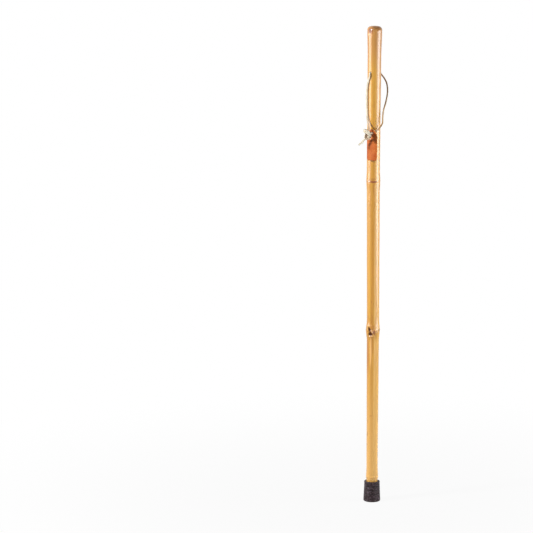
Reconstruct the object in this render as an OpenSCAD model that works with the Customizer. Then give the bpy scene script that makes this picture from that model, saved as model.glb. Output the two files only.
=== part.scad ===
// Hiking staff: a solid bamboo culm with a rubber ferrule, a leather wrist lace and a leather tag.
// Sizes are in millimetres. The origin is the centre of the ferrule's base and +Z runs up the staff.
// The front is towards -Y, and +X is to the right of a person who looks at the front.

/* [Culm] */
// Distance between two neighbouring culm nodes
internode_l = 382; // [340:1:420]
// Height of the lowest node above the ferrule's rim
foot_node_gap = 11.5; // [8:0.5:14]
// Length of culm above the top node
crown_h = 9.5; // [8:0.5:16]
// Culm diameter at the lowest node, without the swelling
culm_foot_d = 29.1; // [27:0.1:32]
// Culm diameter at the top node, without the swelling
culm_top_d = 34.7; // [32:0.1:37]
// Sideways drift of the grip from the foot, to the left
crook = 4; // [0:0.5:8]
// How far the scarred node lags behind that drift, to the right
node_lag = 0.8; // [0:0.1:2]

/* [Nodes] */
// Extra diameter at the lowest node
foot_node_swell = 1.6; // [0.6:0.1:3]
// Extra diameter at the second node, which bears the branch scar
low_node_swell = 3.2; // [1:0.1:5]
// Extra diameter at the third node
high_node_swell = 2.2; // [1:0.1:4]
// Extra diameter at the top node, where the culm is cut
crown_swell = 2.8; // [1:0.1:4]
// Length over which a node swells, to each side
node_flare = 30; // [20:1:45]
// Length over which the top end swells
crown_flare = 75; // [50:1:100]
// Height of the nodal ridge
ridge_h = 6; // [4:0.5:9]
// How far the nodal ridge stands proud
ridge_rise = 0.45; // [0.2:0.05:0.9]
// How deep the flanks of the ridge run into the culm
ridge_dip = 0.6; // [0.4:0.05:1]

/* [Crown] */
// Rounding of the top edge
crown_edge_r = 9; // [5:0.5:12]
// Height of the domed end above the rounding
crown_dome = 1.2; // [0.5:0.1:3]

/* [Branch scar] */
// Turn of the scar to the left of the front
scar_turn = 27; // [10:1:50]
// Radius of the trimmed branch base
scar_boss_r = 14; // [12:0.5:15]
// How far the branch base stands out of the culm
scar_boss_rise = 1.6; // [0.8:0.1:2.5]
// Radius of each hollow in the branch base
scar_pit_r = 4.2; // [3.5:0.1:5.5]
// Depth of each hollow
scar_pit_depth = 1.8; // [1:0.1:2.4]
// Distance in height between the two hollows of the scar
scar_pit_pitch = 12; // [8:0.5:15]
// Turn between the two hollows, with the upper one further to the left
scar_pit_skew = 8; // [0:1:15]

/* [Lace hole] */
// Room between the lace and the wall of the drilled hole
hole_clearance = 0.5; // [0.3:0.05:1.2]
// Depth of the hole's axis below the crown
hole_drop = 116; // [90:1:150]
// Turn of the hole's front mouth to the left of the front
hole_turn = 37; // [20:1:45]
// Width of the broken edge at both mouths
hole_break = 0.8; // [0.4:0.1:1.5]

/* [Ferrule] */
// Height of the rubber ferrule
ferrule_h = 52; // [45:0.5:60]
// Diameter of the foot of the ferrule
ferrule_base_d = 43; // [40:0.2:46]
// Diameter of the sleeve under the rim
ferrule_sleeve_d = 38.6; // [36:0.2:40]
// How far the rim bead stands out of the sleeve
rim_bead = 0.6; // [0.2:0.1:1.2]
// Height of the rim bead
rim_bead_h = 5; // [3:0.5:7]
// Thickness of the rubber under the culm
ferrule_floor = 13; // [10:0.5:16]
// Height of the foot band, below the step ring
foot_band_h = 19; // [15:0.5:24]
// Height of each ring groove in the sleeve
ring_groove_h = 2; // [1:0.25:3]
// Depth of each ring groove in the sleeve
ring_groove_depth = 0.8; // [0.3:0.1:1.5]
// Distance between the ring grooves of the sleeve
ring_pitch = 9.5; // [8:0.5:11]
// Rounding of the foot's lower edge
foot_edge_r = 3; // [1:0.5:5]
// Width of each tread groove
tread_w = 1.8; // [1:0.1:3]
// Depth of each tread groove
tread_depth = 1.6; // [0.8:0.1:3]
// Distance between the tread grooves
tread_pitch = 6; // [4.5:0.5:7]
// Diameter of the turned seat in the socket
seat_d = 28; // [25:0.1:28.5]
// Radial clearance of the seat in the socket
seat_clearance = 0.05; // [0.03:0.01:0.1]
// Bevel of the seat's end and of the socket's mouth
seat_bevel = 1.2; // [0.5:0.1:2]

/* [Ferrule washer] */
// Outside diameter of the steel washer
washer_d = 24; // [20:0.5:26]
// Diameter of the washer's hole
washer_hole_d = 8; // [5:0.5:10]
// Thickness of the washer
washer_t = 1.6; // [1:0.1:2.5]

/* [Lace] */
// Width of the flat leather lace
lace_w = 4; // [3.6:0.1:4.4]
// Thickness of the lace
lace_t = 1.8; // [1.5:0.1:2.1]
// Bevel of the lace's long edges
lace_bevel = 0.5; // [0.3:0.1:0.8]
// Gap between the two strands inside the knot
strand_gap = 0.6; // [0.5:0.05:0.8]
// Radius of the overhand knot
knot_r = 10.5; // [10.2:0.1:12]
// Half depth of the overhand knot
knot_depth = 6.4; // [6:0.1:7.2]

/* [Tag] */
// Width of the leather tag
tag_w = 28; // [24:0.5:32]
// Height of the tag
tag_h = 80; // [60:1:95]
// Thickness of the tag
tag_t = 2.6; // [1.8:0.1:3]
// Height of the arched top
tag_arch_h = 25; // [16:0.5:32]
// Rounding of the lower corners
tag_corner_r = 6; // [3:0.5:10]
// Room between the lace and the edge of the punched hole
tag_hole_clearance = 0.9; // [0.6:0.05:1.2]
// Depth of the punched hole's centre below the top of the tag
tag_hole_drop = 10.5; // [8:0.5:13]
// Radius to which the leather is bowed around the staff
tag_bow_r = 60; // [45:1:120]
// Turn of the tag's face to the left of the front
tag_turn = 25; // [15:1:35]

/* [Hidden] */
curve_steps = 96;
$fn = curve_steps;
profile_steps = 36;
arc_steps = 10;
over = 1;

// Heights of the nodes and of the lace hole.
foot_node_z = ferrule_h + foot_node_gap;
low_node_z = foot_node_z + internode_l;
high_node_z = low_node_z + internode_l;
crown_node_z = high_node_z + internode_l;
top_z = crown_node_z + crown_h;
hole_z = top_z - hole_drop;

// Diameters of the holes that the lace runs through.
hole_d = lace_w + 2 * hole_clearance;
tag_hole_d = lace_w + 2 * tag_hole_clearance;

// Sideways places of the culm's axis.
foot_x = 0;
low_node_x = -crook / 2 + node_lag;
grip_x = -crook;

// The culm's radius at height z: an even taper with a swelling at each node.
function bell(u) = abs(u) < 1 ? (1 + cos(180 * u)) / 2 : 0;
function culm_taper_d(z) =
    culm_foot_d + (culm_top_d - culm_foot_d) * (z - foot_node_z) / (crown_node_z - foot_node_z);
function culm_swell(z) =
    foot_node_swell * bell((z - foot_node_z) / node_flare)
    + low_node_swell * bell((z - low_node_z) / node_flare)
    + high_node_swell * bell((z - high_node_z) / node_flare)
    + crown_swell * bell((z - crown_node_z) / crown_flare);
function culm_r(z) = (culm_taper_d(z) + culm_swell(z)) / 2;

// Heights between two ends, closer together near both ends.
function spaced(z0, z1) =
    [for (i = [0:profile_steps]) z0 + (z1 - z0) * (1 - cos(180 * i / profile_steps)) / 2];

crown_arc_z = top_z - crown_dome - crown_edge_r;
crown_arc_r = culm_r(crown_arc_z) - crown_edge_r;

// Places on the lace are measured from the middle of the lace hole: right, back and up.
// Places near the tag are measured along the tag's face: right along it, out of it and up.
hole_out = [-sin(hole_turn), -cos(hole_turn), 0];
hole_side = [cos(hole_turn), -sin(hole_turn), 0];
tag_out = [-sin(tag_turn), -cos(tag_turn), 0];
tag_side = [cos(tag_turn), -sin(tag_turn), 0];
up = [0, 0, 1];
function by_tag(p) = tag_side * p[0] + tag_out * p[1] + up * p[2];

// The lace changes node this far from the staff's axis, inside the hole.
lace_break = 15;
// Middle of the tag's punched hole, and middle of the knot, both measured along the tag's face.
tag_at = [5, 21.8, -151];
knot_at = [-1.2, 36, -153];

// The overhand knot is a trefoil that is opened at one lobe, which leans back towards the tag.
knot_open = 25;
knot_spin = -135;
knot_lean = 100;
knot_step = 8;
strand_pitch = lace_t + strand_gap;
function unit(v) = v / norm(v);
function spin(p, a) = [p[0] * cos(a) - p[1] * sin(a), p[0] * sin(a) + p[1] * cos(a), p[2]];
function lean(p, a) = [p[0], p[1] * cos(a) - p[2] * sin(a), p[1] * sin(a) + p[2] * cos(a)];
function trefoil(f) = [
    knot_r / 3 * (sin(f) + 2 * sin(2 * f)),
    knot_r / 3 * (cos(f) - 2 * cos(2 * f)),
    -knot_depth * sin(3 * f)
];
function trefoil_normal(f) =
    let (d = trefoil(f + 0.5) - trefoil(f - 0.5))
    unit([-d[1], d[0], 0]);
function knot_turned(p) = spin(lean(spin(p, -180), -knot_lean), knot_spin + 180);
function knot_point(f, strand) =
    let (p = knot_turned(trefoil(f) + trefoil_normal(f) * strand * strand_pitch / 2))
    by_tag(knot_at + [p[0], p[2], p[1]]);
knot_turned_up = knot_turned(up);
knot_wide = -by_tag([knot_turned_up[0], knot_turned_up[2], knot_turned_up[1]]);
function knot_run(strand) =
    [for (f = [180 + knot_open:knot_step:540 - knot_open]) [knot_point(f, strand), knot_wide]];

// Route of the front strand: each entry is a place and the direction of the lace's width there.
hang_wide = [0.7, -0.7, 0];
front_lead = [
    [hole_out * lace_break, hole_side],
    [hole_out * 18.2, hole_side],
    [hole_out * 20.4 - up * 2.2, hole_side],
    [hole_out * 21.2 - up * 6.5, hole_side],
    [[-15, -15.2, -22], hang_wide],
    [[-17.6, -12.4, -42], hang_wide],
    [[-17.8, -12.2, -64], hang_wide],
    [[-15.6, -15.6, -96], hang_wide],
    [[-13.4, -20.4, -124], hang_wide],
    [by_tag([-0.2, 26.9, -134]), tag_side],
    [by_tag([-1.5, 27.9, -143]), knot_wide + tag_side],
    [by_tag([-5.1, 28.1, -148]), knot_wide]
];
front_tail = [
    [by_tag([4, 28.4, -157.6]), knot_wide],
    [by_tag([-1.9, 28.4, -162.7]), knot_wide],
    [by_tag([-10.5, 29, -171]), knot_wide],
    [by_tag([-26.5, 30.5, -184]), knot_wide]
];
// Route of the back strand, which passes through the tag on its way to the knot.
back_lead = [
    [-hole_out * lace_break, hole_side],
    [-hole_out * 18.2, hole_side],
    [[13.6, 16.9, -2], hole_side],
    [[18, 16.4, -8], hole_side],
    [[25.5, 13.2, -17.5], hole_side],
    [[31, 9, -28], hole_side],
    [[33.5, 4, -42], hole_side],
    [[32.4, -1, -61], hole_side],
    [[27.8, -5, -81], hole_side],
    [[23.4, -8.5, -97], hole_side],
    [[21.8, -11.5, -114], hole_side],
    [[21.2, -14.4, -126], hole_side * 0.7 - up * 0.3],
    [by_tag([21.5, 9.5, -136]), hole_side * 0.35 - up * 0.65],
    [by_tag([14.5, 14.6, -144.5]), -up],
    [by_tag([8.2, 16.9, -150]), -up],
    [by_tag(tag_at - [0, 2.2, 0]), -up],
    [by_tag(tag_at + [0, 2.4, 0]), -up],
    [by_tag([3.2, 26.9, -151]), knot_wide * 0.3 - up * 0.7],
    [by_tag([-0.2, 27.2, -152.4]), knot_wide],
    [by_tag([-4.3, 25.5, -156.4]), knot_wide]
];
back_tail = [
    [by_tag([6.3, 26.4, -158]), knot_wide],
    [by_tag([1.1, 25.6, -164.3]), knot_wide],
    [by_tag([-6, 26.2, -172]), knot_wide],
    [by_tag([-19, 27.5, -182]), knot_wide]
];

// A smooth curve through the places of a route, with rings no further apart than ring_step.
ring_step = 8;
function chord(route, i) = norm(route[i + 1][0] - route[i][0]);
function heading(route, i) =
    i == 0 ? unit(route[1][0] - route[0][0])
    : i == len(route) - 1 ? unit(route[i][0] - route[i - 1][0])
    : unit((route[i + 1][0] - route[i][0]) * chord(route, i - 1) / chord(route, i)
        + (route[i][0] - route[i - 1][0]) * chord(route, i) / chord(route, i - 1));
function between(route, i, u) =
    route[i][0] * (2 * pow(u, 3) - 3 * pow(u, 2) + 1)
    + heading(route, i) * chord(route, i) * (pow(u, 3) - 2 * pow(u, 2) + u)
    + route[i + 1][0] * (3 * pow(u, 2) - 2 * pow(u, 3))
    + heading(route, i + 1) * chord(route, i) * (pow(u, 3) - pow(u, 2));
function rings(route) = concat(
    [for (i = [0:len(route) - 2])
        let (n = max(1, ceil(chord(route, i) / ring_step)))
        for (k = [0:n - 1])
            [between(route, i, k / n), route[i][1] * (1 - k / n) + route[i + 1][1] * k / n]],
    [route[len(route) - 1]]
);

// The lace's section: a flat strip with bevelled long edges.
half_w = lace_w / 2;
half_t = lace_t / 2;
lace_section = [
    [half_w, -half_t + lace_bevel],
    [half_w, half_t - lace_bevel],
    [half_w - lace_bevel, half_t],
    [-half_w + lace_bevel, half_t],
    [-half_w, half_t - lace_bevel],
    [-half_w, -half_t + lace_bevel],
    [-half_w + lace_bevel, -half_t],
    [half_w - lace_bevel, -half_t]
];
sides = len(lace_section);
function ring_heading(path, i) =
    unit(path[min(i + 1, len(path) - 1)][0] - path[max(i - 1, 0)][0]);
function ring_points(path, i) =
    let (t = ring_heading(path, i), w = unit(path[i][1] - t * (path[i][1] * t)), n = cross(t, w))
    [for (c = lace_section) path[i][0] + w * c[0] + n * c[1]];

// One stretch of culm between two heights, as a turned profile.
module culm_stretch(z0, z1) {
    rotate_extrude()
        polygon(concat([[0, z0]], [for (z = spaced(z0, z1)) [culm_r(z), z]], [[0, z1]]));
}

// A stretch of culm that leans from one node to the next.
module leaning_stretch(x0, z0, x1, z1) {
    translate([x0, 0, z0])
        rotate([0, atan((x1 - x0) / (z1 - z0)), 0])
            translate([0, 0, -z0])
                culm_stretch(z0, z1);
}

// The ridge around a node, which also covers the slight bend of the culm there.
module nodal_ridge(x, z) {
    r = culm_r(z);
    translate([x, 0, z])
        rotate_extrude()
            polygon(concat(
                [[0, -ridge_h / 2]],
                [for (k = [0:arc_steps])
                    [r - ridge_dip + (ridge_dip + ridge_rise) * sin(180 * k / arc_steps),
                     ridge_h * (k / arc_steps - 0.5)]],
                [[0, ridge_h / 2]]
            ));
}

// The grip: the top stretch with the rounded and domed crown.
module grip_stretch() {
    translate([grip_x, 0, 0])
        rotate_extrude()
            polygon(concat(
                [[0, high_node_z]],
                [for (z = spaced(high_node_z, crown_arc_z)) [culm_r(z), z]],
                [for (k = [1:arc_steps])
                    [crown_arc_r + crown_edge_r * cos(90 * k / arc_steps),
                     crown_arc_z + crown_edge_r * sin(90 * k / arc_steps)]],
                [[crown_arc_r / 2, top_z - crown_dome / 4], [0, top_z]]
            ));
}

// The turned seat that stands in the ferrule's socket.
module seat() {
    rotate_extrude()
        polygon([
            [0, ferrule_floor],
            [seat_d / 2 - seat_bevel, ferrule_floor],
            [seat_d / 2, ferrule_floor + seat_bevel],
            [seat_d / 2, ferrule_h],
            [culm_r(foot_node_z), foot_node_z - ridge_h / 2],
            [culm_r(foot_node_z), foot_node_z],
            [0, foot_node_z]
        ]);
}

// Two hollows of the trimmed branch, cut into its swollen base.
module branch_pits() {
    pit_out = culm_r(low_node_z) + scar_boss_rise / 2 + scar_pit_r - scar_pit_depth;
    for (k = [-0.5, 0.5])
        translate([low_node_x, 0, low_node_z + k * scar_pit_pitch])
            rotate([0, 0, -scar_turn - k * scar_pit_skew])
                translate([0, -pit_out, 0])
                    sphere(r = scar_pit_r);
}

module branch_boss() {
    translate([low_node_x, 0, low_node_z])
        rotate([0, 0, -scar_turn])
            translate([0, -culm_r(low_node_z) - scar_boss_rise + scar_boss_r, 0])
                sphere(r = scar_boss_r);
}

// The drilled hole with a broken edge at both mouths.
module lace_hole() {
    grip_r = culm_r(hole_z);
    translate([grip_x, 0, hole_z])
        rotate([0, 0, -hole_turn]) {
            rotate([90, 0, 0])
                cylinder(h = culm_top_d + crown_swell + 2 * over, d = hole_d, center = true);
            for (a = [90, -90])
                rotate([a, 0, 0])
                    translate([0, 0, grip_r - hole_break])
                        cylinder(h = 2 * hole_break, d1 = hole_d, d2 = hole_d + 4 * hole_break);
        }
}

module staff() {
    color([0.86, 0.64, 0.3])
        difference() {
            union() {
                seat();
                leaning_stretch(foot_x, foot_node_z, low_node_x, low_node_z);
                leaning_stretch(low_node_x, low_node_z, grip_x, high_node_z);
                grip_stretch();
                nodal_ridge(foot_x, foot_node_z);
                nodal_ridge(low_node_x, low_node_z);
                nodal_ridge(grip_x, high_node_z);
                branch_boss();
            }
            branch_pits();
            lace_hole();
        }
}

// The ferrule's outside radius at height z, between the foot and the rim bead.
function sleeve_r(z) =
    (ferrule_base_d + (ferrule_sleeve_d - ferrule_base_d) * (z - foot_edge_r) / (ferrule_h - foot_edge_r)) / 2;
// One ring groove in the outside, from its lower edge upwards.
function ring_groove(z) = [
    [sleeve_r(z), z],
    [sleeve_r(z) - ring_groove_depth, z + ring_groove_h / 4],
    [sleeve_r(z) - ring_groove_depth, z + ring_groove_h * 3 / 4],
    [sleeve_r(z + ring_groove_h), z + ring_groove_h]
];
// One tread groove in the base, from its inner edge outwards.
function tread_groove(r) = [
    [r, 0],
    [r, tread_depth],
    [r + tread_w, tread_depth],
    [r + tread_w, 0]
];

module ferrule() {
    socket_r = seat_d / 2 + seat_clearance;
    bead_z = ferrule_h - rim_bead_h;
    foot_r = ferrule_base_d / 2;
    pocket_z = ferrule_floor - washer_t;
    color([0.09, 0.08, 0.08])
        rotate_extrude()
            polygon(concat(
                [[0, 0]],
                tread_groove(tread_pitch),
                tread_groove(2 * tread_pitch),
                [for (k = [0:arc_steps])
                    [foot_r - foot_edge_r + foot_edge_r * sin(90 * k / arc_steps),
                     foot_edge_r - foot_edge_r * cos(90 * k / arc_steps)]],
                ring_groove(foot_band_h),
                ring_groove(foot_band_h + ring_pitch),
                ring_groove(foot_band_h + 2 * ring_pitch),
                [[sleeve_r(bead_z), bead_z]],
                [for (k = [0:arc_steps])
                    [sleeve_r(ferrule_h) - rim_bead + 2 * rim_bead * sin(20 + 140 * k / arc_steps),
                     bead_z + rim_bead_h * (0.1 + 0.9 * k / arc_steps)]],
                [
                    [socket_r + seat_bevel, ferrule_h],
                    [socket_r, ferrule_h - seat_bevel],
                    [socket_r, ferrule_floor],
                    [washer_d / 2, ferrule_floor],
                    [washer_d / 2, pocket_z],
                    [0, pocket_z]
                ]
            ));
}

module ferrule_washer() {
    color([0.62, 0.63, 0.65])
        translate([0, 0, ferrule_floor - washer_t])
            difference() {
                cylinder(h = washer_t, d = washer_d);
                translate([0, 0, -over])
                    cylinder(h = washer_t + 2 * over, d = washer_hole_d);
            }
}

// A lace along a route, as one closed tube of flat rings.
module lace_along(route) {
    path = rings(route);
    last = len(path) - 1;
    translate([grip_x, 0, hole_z])
        polyhedron(
            points = [for (i = [0:last]) each ring_points(path, i)],
            faces = concat(
                [[for (k = [0:sides - 1]) k]],
                [for (i = [0:last - 1])
                    for (k = [0:sides - 1])
                        let (a = i * sides + k, b = i * sides + (k + 1) % sides)
                        each [[a, a + sides, b], [b, a + sides, b + sides]]],
                [[for (k = [sides - 1:-1:0]) last * sides + k]]
            )
        );
}

module lace_front() {
    color([0.83, 0.79, 0.72])
        lace_along(concat(front_lead, knot_run(1), front_tail));
}

module lace_back() {
    color([0.83, 0.79, 0.72])
        lace_along(concat(back_lead, knot_run(-1), back_tail));
}

module lace_in_bore() {
    color([0.83, 0.79, 0.72])
        translate([grip_x, 0, hole_z])
            rotate([0, 0, -hole_turn])
                rotate([90, 0, 0])
                    translate([0, 0, -lace_break])
                        linear_extrude(height = 2 * lace_break)
                            polygon(lace_section);
}

// The tag's outline around its punched hole: a tall arched top and rounded lower corners.
module tag_outline() {
    tag_foot = tag_hole_drop - tag_h;
    tag_shoulder = tag_hole_drop - tag_arch_h;
    corner_x = tag_w / 2 - tag_corner_r;
    difference() {
        union() {
            translate([0, tag_shoulder])
                polygon([for (k = [0:2 * arc_steps])
                    [tag_w / 2 * cos(90 * k / arc_steps), tag_arch_h * sin(90 * k / arc_steps)]]);
            translate([-tag_w / 2, tag_foot + tag_corner_r])
                square([tag_w, tag_shoulder - tag_foot - tag_corner_r]);
            translate([-corner_x, tag_foot])
                square([2 * corner_x, tag_corner_r + over]);
            for (x = [-corner_x, corner_x])
                translate([x, tag_foot + tag_corner_r])
                    circle(r = tag_corner_r);
        }
        circle(d = tag_hole_d);
    }
}

module tag() {
    bow_depth = pow(tag_w, 2) / tag_bow_r;
    color([0.73, 0.36, 0.13])
        translate([grip_x, 0, hole_z])
            rotate([0, 0, -tag_turn])
                translate([tag_at[0], -tag_at[1], tag_at[2]])
                    rotate([90, 0, 0])
                        intersection() {
                            translate([0, 0, -bow_depth - tag_t])
                                linear_extrude(height = bow_depth + 2 * tag_t)
                                    tag_outline();
                            translate([0, 0, -tag_bow_r])
                                rotate([90, 0, 0])
                                    difference() {
                                        cylinder(h = 3 * tag_h, r = tag_bow_r + tag_t / 2, center = true);
                                        cylinder(h = 4 * tag_h, r = tag_bow_r - tag_t / 2, center = true);
                                    }
                        }
}

staff();
ferrule();
ferrule_washer();
lace_front();
lace_in_bore();
lace_back();
tag();
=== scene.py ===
import math

import bpy
import numpy as np
from mathutils import Matrix, Vector


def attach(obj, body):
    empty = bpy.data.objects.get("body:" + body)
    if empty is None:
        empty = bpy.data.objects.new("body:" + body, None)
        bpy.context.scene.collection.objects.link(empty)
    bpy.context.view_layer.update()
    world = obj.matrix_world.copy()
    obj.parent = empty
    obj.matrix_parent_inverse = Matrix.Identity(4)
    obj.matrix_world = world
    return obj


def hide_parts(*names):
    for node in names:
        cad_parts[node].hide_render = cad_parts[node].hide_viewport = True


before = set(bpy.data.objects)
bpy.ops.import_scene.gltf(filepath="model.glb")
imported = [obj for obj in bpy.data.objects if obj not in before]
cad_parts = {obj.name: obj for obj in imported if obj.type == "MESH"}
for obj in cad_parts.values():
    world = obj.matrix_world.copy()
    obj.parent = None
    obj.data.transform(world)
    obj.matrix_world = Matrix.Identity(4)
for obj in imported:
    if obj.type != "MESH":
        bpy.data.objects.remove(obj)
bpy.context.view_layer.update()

# The culm is one solid bamboo pole, a little over three internodes long, trimmed, sanded and lacquered.
# Its foot is turned down to a seat for the ferrule, its crown is rounded over at a node, and a hole
# for the lace is drilled across the grip. Marks of cut branches and sheaths are left in the surface.
seat_z = 0.013
seat_r = 0.014
seat_bevel = 0.0012
seat_margin = 0.004
rim_z = 0.052
neck_z = 0.0605
internode = 0.382
node_z = 0.0635 + internode * np.arange(4)
node_swell = (0.0016, 0.0032, 0.0022, 0.0028)
node_flare = (0.030, 0.030, 0.030, 0.075)
node_drift = (0.0, -0.0012, -0.004, -0.004)
foot_d = 0.0291
top_d = 0.0347
top_z = 1.219
crown_edge_r = 0.009
crown_edge_steps = 14
crown_dome = 0.0012
dome_shares = np.linspace(1, 0.12, 7)[1:]
culm_sides = 144
culm_rows = 540
grip_x = node_drift[3]
hole_z = 1.103
hole_r = 0.0025
hole_break = 0.0008
hole_turn = math.radians(37)
culm_sharp = math.radians(38)
scene = bpy.context.scene


def bell(u):
    """1 in the middle, falling smoothly to nought where u is -1 or 1."""
    return (1 + np.cos(np.pi * np.clip(u, -1, 1))) / 2


def culm_radius(z):
    """The bare pole's radius at a height: its taper and the swelling of its nodes."""
    taper = foot_d + (top_d - foot_d) * (z - node_z[0]) / (node_z[3] - node_z[0])
    swell = sum(s * bell((z - h) / f) for h, s, f in zip(node_z, node_swell, node_flare))
    return (taper + swell) / 2


def turned_grid(row_r, row_z, sides):
    """The radius, the height and the turn from the front of every point on a turned surface."""
    turns = np.radians(np.linspace(-180, 180, sides, endpoint=False))
    height, turn = np.meshgrid(row_z, turns, indexing="ij")
    return np.repeat(row_r[:, None], sides, axis=1), height, turn


def turned_rings(radius, height, turn, axis_x=0.0):
    """The points of a turned surface, ring by ring, around an upright axis."""
    return np.stack([axis_x + radius * np.sin(turn), -radius * np.cos(turn), height], axis=-1)


def placed(name, data):
    """Puts a mesh, a lamp or a camera into the scene as an object."""
    item = bpy.data.objects.new(name, data)
    scene.collection.objects.link(item)
    return item


def skin(name, rings, looped=False):
    """A closed mesh over rings of points.

    The last ring joins the first if the rings are looped; otherwise a middle point closes each end.
    """
    rows, sides = rings.shape[:2]
    points = np.concatenate([rings.reshape(-1, 3), rings[:1].mean(1), rings[-1:].mean(1)])
    here = np.arange(rows * sides).reshape(rows, sides)
    beside = np.roll(here, -1, axis=1)
    faces = np.stack([here, beside, np.roll(beside, -1, axis=0), np.roll(here, -1, axis=0)], axis=-1)
    faces = faces[:rows if looped else -1].reshape(-1, 4).tolist()
    if looped:
        points = points[:-2]
    else:
        faces += [[rows * sides, b, a] for a, b in zip(here[0].tolist(), beside[0].tolist())]
        faces += [[rows * sides + 1, a, b] for a, b in zip(here[-1].tolist(), beside[-1].tolist())]
    mesh = bpy.data.meshes.new(name)
    mesh.from_pydata(points.tolist(), [], faces)
    mesh.polygons.foreach_set("use_smooth", [True] * len(mesh.polygons))
    return placed(name, mesh)


def point_attribute(piece, name, values):
    """Stores one number for each point of a skin; the two end points take the mean of their rings."""
    values = np.asarray(values, dtype=np.float32)
    values = np.append(values.ravel(), [values[0].mean(), values[-1].mean()])
    stored = piece.data.attributes.new(name, "FLOAT", "POINT")
    stored.data.foreach_set("value", values[:len(piece.data.vertices)].astype(np.float32))


def finished(piece):
    """Turns what a piece's modifiers make of it into its plain mesh."""
    graph = bpy.context.evaluated_depsgraph_get()
    rough = piece.data
    mesh = bpy.data.meshes.new_from_object(
        piece.evaluated_get(graph), preserve_all_data_layers=True, depsgraph=graph)
    piece.modifiers.clear()
    piece.data = mesh
    mesh.name = piece.name
    bpy.data.meshes.remove(rough)


# Rows of points lie close together at the nodes, where the culm has its relief.
fine_rows = 6000
node_crowding = 6
node_reach = 0.024
crown_crowding = 2
crown_reach = 0.06
fine_z = np.linspace(rim_z, top_z - crown_dome - crown_edge_r, fine_rows)
crowding = 1 + sum(node_crowding * bell((fine_z - h) / node_reach) for h in node_z[:3])
crowding += crown_crowding * bell((fine_z - top_z) / crown_reach)
crowding = np.concatenate([[0], np.cumsum(crowding)[:-1]])
row_z = np.interp(np.linspace(0, crowding[-1], culm_rows), crowding, fine_z)
neck_r = np.interp(row_z, (rim_z, neck_z), (seat_r, culm_radius(neck_z)))
row_r = np.where(row_z < neck_z, neck_r, culm_radius(row_z))
over_edge = np.radians(np.linspace(0, 90, crown_edge_steps + 1)[1:])
edge_r = row_r[-1] - crown_edge_r
dome_r = edge_r * dome_shares
row_r = np.concatenate([
    [seat_r - seat_bevel, seat_r, seat_r], row_r,
    edge_r + crown_edge_r * np.cos(over_edge), dome_r])
row_z = np.concatenate([
    [seat_z, seat_z + seat_bevel, rim_z - seat_margin], row_z,
    row_z[-1] + crown_edge_r * np.sin(over_edge), top_z - crown_dome * (dome_r / edge_r) ** 2])
radius, height, turn = turned_grid(row_r, row_z, culm_sides)

# The pole is slightly out of round, and flattest on one side along each internode.
oval = 0.00016
three_sided = 0.00010
flattened = 0.00012
neck_fade = 0.03
crown_fade = 0.05
shown = np.clip((height - neck_z) / neck_fade, 0, 1) * np.clip((top_z - height) / crown_fade, 0, 1)
radius += shown * oval * np.cos(2 * turn + 5 * height)
radius += shown * three_sided * np.cos(3 * turn - 9 * height + 1)
radius += shown * flattened * np.sin(38 * height) * np.cos(turn - 12 * height)

tones = {name: np.zeros_like(height) for name in ("soot", "rust", "pale", "heal", "endgrain", "burl")}


def mark(degrees, z, wide, tall, tilt=0, dent=0, edge=0.6, waver=0.12, **strengths):
    """An oval mark, in millimetres around the point at that turn from the front and that height."""
    across = 1000 * radius * ((turn - math.radians(degrees) + np.pi) % (2 * np.pi) - np.pi)
    above = 1000 * (height - z)
    lean = math.radians(tilt)
    u = (across * math.cos(lean) + above * math.sin(lean)) / wide
    v = (above * math.cos(lean) - across * math.sin(lean)) / tall
    around = np.arctan2(v, u)
    out = np.hypot(u, v)
    out += waver * np.sin(3 * around + degrees) + 0.6 * waver * np.sin(7 * around + z)
    inside = np.clip((1 - out) / edge + 0.5, 0, 1)
    inside = inside * inside * (3 - 2 * inside)
    radius[:] -= 0.001 * dent * inside
    for tone, strength in strengths.items():
        tones[tone] = np.maximum(tones[tone], strength * inside)


# The scarred second node: two cut branch stubs in a swelling, with pale lips, stains and streaks by them.
low_z = node_z[1]
mark(-27, low_z, 13, 14, dent=-1.3, edge=1.4, waver=0.05, rust=0.16)
mark(-62, low_z - 0.004, 12, 16, dent=-0.7, edge=1.4, waver=0.05)
mark(-32, low_z + 0.004, 3.2, 5.8, tilt=20, dent=1.4, edge=0.8, soot=1)
mark(-25, low_z - 0.0085, 5.2, 4.6, dent=1.6, edge=0.8, soot=0.95)
mark(-27, low_z - 0.0025, 2.4, 4.6, tilt=20, dent=0.9, edge=0.8, soot=0.85)
mark(-16, low_z - 0.007, 2.6, 3.4, tilt=-30, dent=0.5, soot=0.5, rust=0.8)
mark(-9, low_z - 0.003, 1.5, 4.2, tilt=8, dent=-0.9, pale=0.8)
mark(8, low_z - 0.004, 3.2, 7.6, tilt=10, dent=0.5, edge=0.9, rust=0.85, soot=0.12)
mark(2, low_z + 0.008, 2.4, 7.5, tilt=6, dent=0.25, rust=0.55)
mark(-17, low_z - 0.0145, 5.5, 2.0, tilt=8, dent=-0.5, pale=0.75)
mark(-24, low_z + 0.014, 3.5, 2.2, edge=1.2, pale=0.4)
mark(62, low_z + 0.0005, 2.4, 3.0, dent=0.5, soot=0.75, rust=0.4)
# The long pale streak below the node is a painted highlight.
mark(-23, low_z - 0.050, 2.5, 38, edge=0.9, waver=0.03, pale=0.62)
mark(-5, low_z - 0.034, 3.0, 26, edge=1.0, waver=0.03, rust=0.3)
mark(-56, low_z - 0.062, 4.5, 48, edge=1.2, waver=0.03, rust=0.45)
mark(-14, low_z + 0.004, 15, 30, edge=1.5, rust=0.28)
mark(118, low_z + 0.001, 5.0, 6.5, dent=0.8, rust=0.6, soot=0.4)
mark(165, low_z - 0.002, 3.0, 4.0, dent=0.6, rust=0.5, soot=0.5)

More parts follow.
